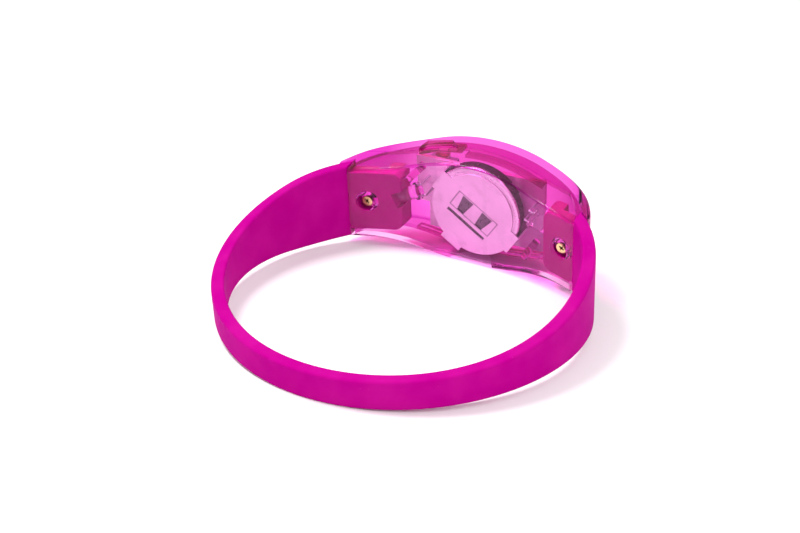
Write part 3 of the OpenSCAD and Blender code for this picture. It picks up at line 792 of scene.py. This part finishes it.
class WRISTBAND_OT_front_cover(WristbandPiece):
    """Builds the clear front cover with its lips, posts, tongue and button slot"""

    bl_idname = "wristband.front_cover"
    bl_label = "Front cover"

    def execute(self, context):
        edge = self.sizes.lens_edge / MM
        end = WRIST_LIMIT + GAP / 4

        def block(x):
            near = parting(x) - 0.005 if abs(x) <= end else -math.sqrt(STRAP_OUT_R**2 - x * x) - GAP
            return solid_loop(x, near, crest(x), 0, edge)

        def hollow(x):
            near = min(parting(x) + 2.0, face(x, 0.6))
            return solid_loop(x, near, crest(x, LENS_T), WALL_T, 0.5)

        stations = [-LIP_X, *spread(-LIP_X + 0.15, -end - 0.001, 8), *spread(-end, end, 150)]
        stations += [*spread(end + 0.001, LIP_X - 0.15, 8), LIP_X]
        cover = loose(wrapped(stations, block))
        carved(cover, wrapped(spread(-end - 0.02, end + 0.02, 120), hollow))
        ring = turned([(0, -20), (STRAP_OUT_R + GAP, -20), (STRAP_OUT_R + GAP, 20), (0, 20)], 360)
        room = prism([(WRIST_LIMIT, -60), (60, -60), (60, 60), (WRIST_LIMIT, 60)], 40)
        keep = carved(loose(ring), moved(room, Matrix.Translation((0, 0, -20))), "INTERSECT")
        for side in (-1, 1):
            tool = bmesh.new()
            tool.from_mesh(keep.data)
            carved(cover, moved(tool, Matrix.Scale(side, 4, (1, 0, 0))))
        bpy.data.objects.remove(keep)
        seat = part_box("cover_screws")[1].y / MM - HEAD_H
        for side in (-1, 1):
            start = seat - SEAT_T - GAP
            deep = start - crest(SCREW_X) - 0.9
            post = turned([(0, 0), (POST_R - 0.1, 0), (POST_R, 0.1), (POST_R, deep), (0, deep)])
            carved(cover, moved(post, forward(side * SCREW_X, start, 0)), "UNION")
            bore = turned([(0, 0), (THREAD_BORE_R, 0), (THREAD_BORE_R, 5.9), (0, 6.1)], 32)
            carved(cover, moved(bore, forward(side * SCREW_X, start + 1, 0)))
        for side, reach in ((1, TONGUE_STOP), (-1, TONGUE_HALF)):
            carved(cover, wrapped(spread(-TONGUE_HALF, reach, 60), lambda x: tongue(x, side)), "UNION")
        back, line = FACE_Y - SPLIT_DEPTH + BUTTON_BACK, FACE_Y - SPLIT_DEPTH
        left, right = BUTTON_X + BUTTON_HALF, BUTTON_X - BUTTON_HALF
        outline = [(left, back), (left, line), (left - BUTTON_SLANTS[0], line - BUTTON_W)]
        outline += [(right + BUTTON_SLANTS[1], line - BUTTON_W), (right, line), (right, back)]
        carved(cover, prism(outline, 30))
        stuff = clear_wall("clear_magenta_front", tuple(self.colours.front), tuple(self.colours.front_wall))
        finished(cover, "front_shell", "housing", stuff, "clear_magenta", "front_cover")
        return {"FINISHED"}


class WRISTBAND_OT_button(WristbandPiece):
    """Builds the power button"""

    bl_idname = "wristband.button"
    bl_label = "Power button"

    def execute(self, context):
        bm = from_cad("power_button", self.sizes.button_edge / MM, 3)
        tint, deep = tuple(self.colours.button), tuple(self.colours.button_wall)
        stuff = clear_wall("clear_button", tint, deep, haze=0.12)
        finished(loose(bm), "button_cap", "button", stuff, "clear_magenta", "power_button")
        return {"FINISHED"}


class WRISTBAND_OT_screws(WristbandPiece):
    """Builds the two cross-head screws"""

    bl_idname = "wristband.screws"
    bl_label = "Cover screws"

    def execute(self, context):
        edge = self.sizes.screw_edge / MM
        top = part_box("cover_screws")[1].y / MM
        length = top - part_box("cover_screws")[0].y / MM
        screws = bmesh.new()
        profile = [(0, 0), *quarter(HEAD_R, edge), (HEAD_R, HEAD_H - 0.05)]
        profile += [(HEAD_R - 0.1, HEAD_H), (SHANK_R, HEAD_H)]
        for i in range(int((length - HEAD_H - 1) / PITCH)):
            z = HEAD_H + 0.3 + i * PITCH
            crown = [(SHANK_R, z + PITCH * 0.4), (SHANK_R, z + PITCH * 0.5)]
            profile += [(ROOT_R, z), *crown, (ROOT_R, z + PITCH * 0.9)]
        profile += [(ROOT_R - 0.02, length - 0.5), (0.25, length), (0, length)]
        for side in (-1, 1):
            screw = loose(turned(profile, 64))
            for turn in (35, 125):
                wing = prism([(-0.8, -0.2), (0.8, -0.2), (0.8, 0.2), (-0.8, 0.2)], 1.05)
                for v in wing.verts:
                    if v.co.z > 0.5:
                        v.co.x *= 0.45
                        v.co.y *= 0.6
                place = Matrix.Rotation(math.radians(turn), 4, "Z") @ Matrix.Translation((0, 0, -0.5))
                carved(screw, moved(wing, place))
            bm = bmesh.new()
            bm.from_mesh(screw.data)
            added(screws, moved(bm, forward(side * SCREW_X, top, 0)))
            bpy.data.objects.remove(screw)
        # Painted shade: the brass is darkened in the cross recesses, deeper than 0.18 mm under the head's
        # top.
        stuff = metal(
            "brass_plate",
            tuple(self.colours.brass),
            0.16,
            0.4,
            0.0002,
            lambda f: (f.at(1) - top * MM).over(-0.00018, -0.00035) * 0.9,
        )
        finished(loose(screws), "screw_pair", "housing", stuff, "brass", "cover_screws")
        return {"FINISHED"}


class WRISTBAND_OT_cell(WristbandPiece):
    """Builds the coin cell's can and the metal clip that holds it"""

    bl_idname = "wristband.cell"
    bl_label = "Cell and clip"

    def execute(self, context):
        radius = (CELL_HIGH.x - CELL_LOW.x) / 2 / MM
        depth = (CELL_HIGH.y - CELL_LOW.y) / MM
        centre = (CELL_LOW + CELL_HIGH) / 2 / MM
        groove = [(radius - 1.05, 0), (radius - 0.98, 0.06), (radius - 0.88, 0.06), (radius - 0.8, 0)]
        profile = [(0, 0), *groove, *quarter(radius, 0.4), (radius, depth - 0.5)]
        profile += [(radius - 0.12, depth - 0.1), (radius - 0.4, depth), (8.85, depth), (8.8, depth - 0.28)]
        profile += [(9.7, depth - 0.3), (9.7, 0.3), (0, 0.3)]
        can = loose(turned(profile, 160))
        can.data.transform(forward(centre.x, CELL_HIGH.y / MM, centre.z))

        # Painted shade on the can: its face is darkened inside CELL_SHADE_R, where the clip's slot and gaps
        # show it, and so is its side wall below the top face.
        def shade(f):
            x, z = f.at(0) - centre.x * MM, f.at(2) - centre.z * MM
            middle = ((x * x + z * z) ** 0.5).over(CELL_SHADE_R + 0.0004, CELL_SHADE_R - 0.0001)
            side = (f.at(1) - CELL_HIGH.y).over(-0.0003, -0.0006)
            return middle.math("MAXIMUM", middle, side) * 0.9

        steel = metal("cell_steel", scaled(tuple(self.colours.steel), 0.95), 0.22, 0.2, painted_shade=shade)
        finished(can, "cell_case", "housing", steel, "cell_steel", "cell_can")
        clip = loose(from_cad("battery_clip", self.sizes.sheet_edge / MM))
        plated = clip_steel(tuple(self.colours.steel))
        finished(clip, "cell_clip", "housing", plated, "spring_steel", "battery_clip")
        return {"FINISHED"}


def clip_steel(colour):
    """Bright plated sheet, drawn along the slot, with a pressed window and smudges."""
    f = Finish("plated_sheet")
    centre = (CELL_LOW + CELL_HIGH) / 2
    place = f.local((centre.x, 0, centre.z), (0, CLIP_TURN, 0))
    along, across = (f.node("SeparateXYZ", None, {0: place}, axis) for axis in (0, 2))
    drawn = f.local((0, 0, 0), (0, CLIP_TURN, 0), (8, 1, 1))
    lines = f.node("TexNoise", None, {"Vector": drawn, "Scale": 4500.0, "Detail": 4.0, "Roughness": 0.6})
    broad = f.grain(0.004, 3)
    half_x, half_z = abs(along), abs(across - -0.00055)
    frame_x = abs(half_x - 0.0052).over(0.00022, 0.00006) * half_z.over(0.0022, 0.0020)
    frame_z = abs(half_z - 0.00205).over(0.00022, 0.00006) * half_x.over(0.0054, 0.0052)
    window = frame_x.math("MAXIMUM", frame_x, frame_z)
    smudge = f.grain(0.0022, 5, 0.65).over(0.5, 0.7)
    tone = f.mix(lines, scaled(colour, 0.9), scaled(colour, 1.08))
    # Painted shade: the pressed window's groove is darkened besides its bump; the smudges are dirt.
    tone = f.mix(window * 0.7 + smudge * 0.1, tone, scaled(colour, 0.35))
    return f.done(
        f.shader(
            Base_Color=tone,
            Metallic=1.0,
            Roughness=0.34 + lines * 0.10 + broad * 0.12 + smudge * 0.1,
            Normal=f.bump(lines * 0.25 + broad * 0.8 - window * 1.2, 0.00004, 0.7),
        )
    )


class WRISTBAND_OT_emitters(WristbandPiece):
    """Builds the two clear light emitters"""

    bl_idname = "wristband.emitters"
    bl_label = "Light emitters"

    def execute(self, context):
        epoxy = clear_epoxy()
        turns = [math.radians(d) for d in range(0, 90, 9)]
        rise = BULB_LEN - BULB_R
        bevel = FLANGE_R - 0.1
        flange = [(bevel, 0), (FLANGE_R, 0.1), (FLANGE_R, FLANGE_T - 0.1), (bevel, FLANGE_T)]
        neck = [(BULB_R + 0.05, FLANGE_T + 0.02), (BULB_R, FLANGE_T + 0.08)]
        dome = [(BULB_R * math.cos(a), rise + BULB_R * math.sin(a)) for a in turns]
        for side, label in ((1, "left"), (-1, "right")):
            bulb = turned([(0, 0), *flange, *neck, *dome, (0, BULB_LEN)])
            piece = loose(moved(bulb, bulb_frame(side)))
            finished(piece, f"{label}_emitter", "housing", epoxy, "clear_epoxy", f"{label}_led_bulb")
        return {"FINISHED"}


class WRISTBAND_OT_finishes(WristbandPiece):
    """Gives the carried-over nodes their finishes"""

    bl_idname = "wristband.finishes"
    bl_label = "Finishes of the inner parts"

    def execute(self, context):
        tin = metal("tinned_wire", (0.72, 0.72, 0.74), 0.28, wear=0.3)
        solder = metal("solder", (0.70, 0.70, 0.72), 0.22, wear=0.35, size=0.0006)
        stuffs = {
            "circuit_board": board_mask(tuple(self.colours.board)),
            "cell_gasket": plastic("seal_ring", (0.03, 0.03, 0.035), 0.5),
            "cell_cap": metal("cap_steel", (0.72, 0.72, 0.73), 0.3, wear=0.3),
            "negative_contact": metal("contact_bronze", (0.80, 0.62, 0.36), 0.28, wear=0.3),
            "left_led_leads": tin,
            "right_led_leads": tin,
            "switch_body": plastic("switch_black", (0.03, 0.03, 0.032), 0.5),
            "switch_cover": metal("switch_lid", (0.76, 0.76, 0.78), 0.3),
            "switch_plunger": plastic("plunger_white", (0.82, 0.81, 0.78), 0.4),
            "switch_terminals": tin,
            "controller_chip": plastic("black_epoxy", (0.015, 0.015, 0.017), 0.22, 0.0006),
            "chip_resistors": glazed("resistor_black", (0.02, 0.02, 0.022)),
            "chip_capacitor": glazed("capacitor_tan", (0.42, 0.27, 0.14)),
            "solder_joints": solder,
        }
        for name, stuff in stuffs.items():
            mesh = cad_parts[name].data
            mesh.materials.clear()
            mesh.materials.append(stuff)
        return {"FINISHED"}


def board_mask(colour):
    """White solder mask over woven glass cloth: copper lines show as low ridges, and one end is shaded."""
    f = Finish("white_mask")
    x, z = f.at(0), f.at(2)
    weave = (x * 9000.0).math("SINE", x * 9000.0) * (z * 9000.0).math("SINE", z * 9000.0)
    lines = f.node(
        "TexVoronoi",
        {"feature": "DISTANCE_TO_EDGE", "distance": "MANHATTAN"},
        {"Vector": f.at(), "Scale": 260.0, "Randomness": 0.6},
    )
    tracks = lines.over(0.10, 0.05)
    blot = f.grain(0.004, 3)
    tone = f.mix(blot.over(0.35, 0.65), scaled(colour, 0.93), scaled(colour, 1.05))
    tone = f.mix(tracks * 0.35, tone, (colour[0] * 0.8, colour[1] * 0.72, colour[2] * 0.82))
    shaded = (colour[0] * 0.6, colour[1] * 0.16, colour[2] * 0.5)
    tone = f.mix(x.over(-0.0078, -0.0098) * 0.85, tone, shaded)
    return f.done(
        f.shader(
            Base_Color=tone,
            Roughness=0.38 + blot * 0.1,
            Normal=f.bump(tracks + weave * 0.15, 0.00003, 0.7),
        )
    )


def glazed(name, colour):
    """The glazed body of a small block part."""
    f = Finish(name)
    blot = f.grain(0.0003, 3)
    tone = f.mix(blot, scaled(colour, 0.8), scaled(colour, 1.2))
    return f.done(f.shader(Base_Color=tone, Roughness=0.3 + blot * 0.2, Normal=f.bump(blot, 0.00002)))


# ---------------------------------------------------------------- stage
CAMERA_AT = Vector((-0.1219, 0.2069, 0.1535))
CAMERA_TO = Vector((0.00711, -0.0111, -0.00469))
CAMERA_ROLL = 0.04745
FLOOR_TILT = math.radians(7.4)


class WRISTBAND_OT_stage(WristbandPiece):
    """Builds the pale floor, the soft lights and the camera"""

    bl_idname = "wristband.stage"
    bl_label = "Stage"

    def execute(self, context):
        scene = context.scene
        low = CAD_LOW.z + 0.0002
        bm = bmesh.new()
        bmesh.ops.create_grid(bm, x_segments=8, y_segments=8, size=3)
        place = Matrix.Translation((0, -0.036, low)) @ Matrix.Rotation(FLOOR_TILT, 4, "X")
        floor = loose(moved(bm, place), "floor")
        f = Finish("pale_floor")
        cloud = f.grain(0.3, 3)
        tone = tuple(self.colours.floor)
        floor.data.materials.append(
            f.done(f.shader(Base_Color=f.mix(cloud, scaled(tone, 0.995), scaled(tone, 1.005)), Roughness=0.9))
        )
        world = bpy.data.worlds.new("studio")
        world.use_nodes = True
        world.node_tree.nodes["Background"].inputs[0].default_value = (1, 1, 1, 1)
        world.node_tree.nodes["Background"].inputs[1].default_value = 0.95
        scene.world = world
        for name, at, size, watts in (
            ("key_light", (0.20, 0.01, 0.46), 0.18, 1.9),
            ("side_light", (-0.3, 0.1, 0.4), 0.3, 0.6),
        ):
            lamp = bpy.data.lights.new(name, "AREA")
            lamp.shape, lamp.size, lamp.energy = "DISK", size, watts
            spot = bpy.data.objects.new(name, lamp)
            spot.location = at
            spot.rotation_mode = "QUATERNION"
            spot.rotation_quaternion = (-Vector(at)).to_track_quat("-Z", "Y")
            scene.collection.objects.link(spot)
        ahead = (CAMERA_TO - CAMERA_AT).normalized()
        right = ahead.cross(Vector((0, 0, 1))).normalized()
        up = right.cross(ahead)
        level = math.sqrt(1 - CAMERA_ROLL**2)
        right, up = right * level - up * CAMERA_ROLL, right * CAMERA_ROLL + up * level
        lens = bpy.data.cameras.new("camera")
        lens.lens, lens.sensor_width, lens.clip_start, lens.clip_end = 66.69, 36, 0.01, 20
        camera = bpy.data.objects.new("camera", lens)
        turn = Matrix((right, up, -ahead)).transposed().to_4x4()
        camera.matrix_world = Matrix.Translation(CAMERA_AT) @ turn
        scene.collection.objects.link(camera)
        scene.camera = camera
        scene.view_settings.view_transform = "Standard"
        return {"FINISHED"}


class WRISTBAND_PT_panel(bpy.types.Panel):
    """Lists the sizes, the colours and the pieces"""

    bl_label = "Light-up wristband"
    bl_idname = "WRISTBAND_PT_panel"
    bl_space_type = "VIEW_3D"
    bl_region_type = "UI"
    bl_category = "Wristband"

    def draw(self, context):
        for group in (context.scene.wristband_sizes, context.scene.wristband_colours):
            box = self.layout.box()
            for key in group.bl_rna.properties.keys():
                if key not in ("rna_type", "name"):
                    box.prop(group, key)
        for piece in PIECES:
            self.layout.operator(piece.bl_idname)


PIECES = (
    WRISTBAND_OT_strap,
    WRISTBAND_OT_rear_cover,
    WRISTBAND_OT_front_cover,
    WRISTBAND_OT_button,
    WRISTBAND_OT_screws,
    WRISTBAND_OT_cell,
    WRISTBAND_OT_emitters,
    WRISTBAND_OT_finishes,
    WRISTBAND_OT_stage,
)
CLASSES = (WristbandSizes, WristbandColours, *PIECES, WRISTBAND_PT_panel)


def register():
    for entry in CLASSES:
        bpy.utils.register_class(entry)
    bpy.types.Scene.wristband_sizes = bpy.props.PointerProperty(type=WristbandSizes)
    bpy.types.Scene.wristband_colours = bpy.props.PointerProperty(type=WristbandColours)


def unregister():
    del bpy.types.Scene.wristband_colours
    del bpy.types.Scene.wristband_sizes
    for entry in reversed(CLASSES):
        bpy.utils.unregister_class(entry)


def main():
    """Builds every piece and the stage."""
    register()
    for piece in PIECES:
        group, name = piece.bl_idname.split(".")
        getattr(getattr(bpy.ops, group), name)()


if __name__ == "__main__":
    main()
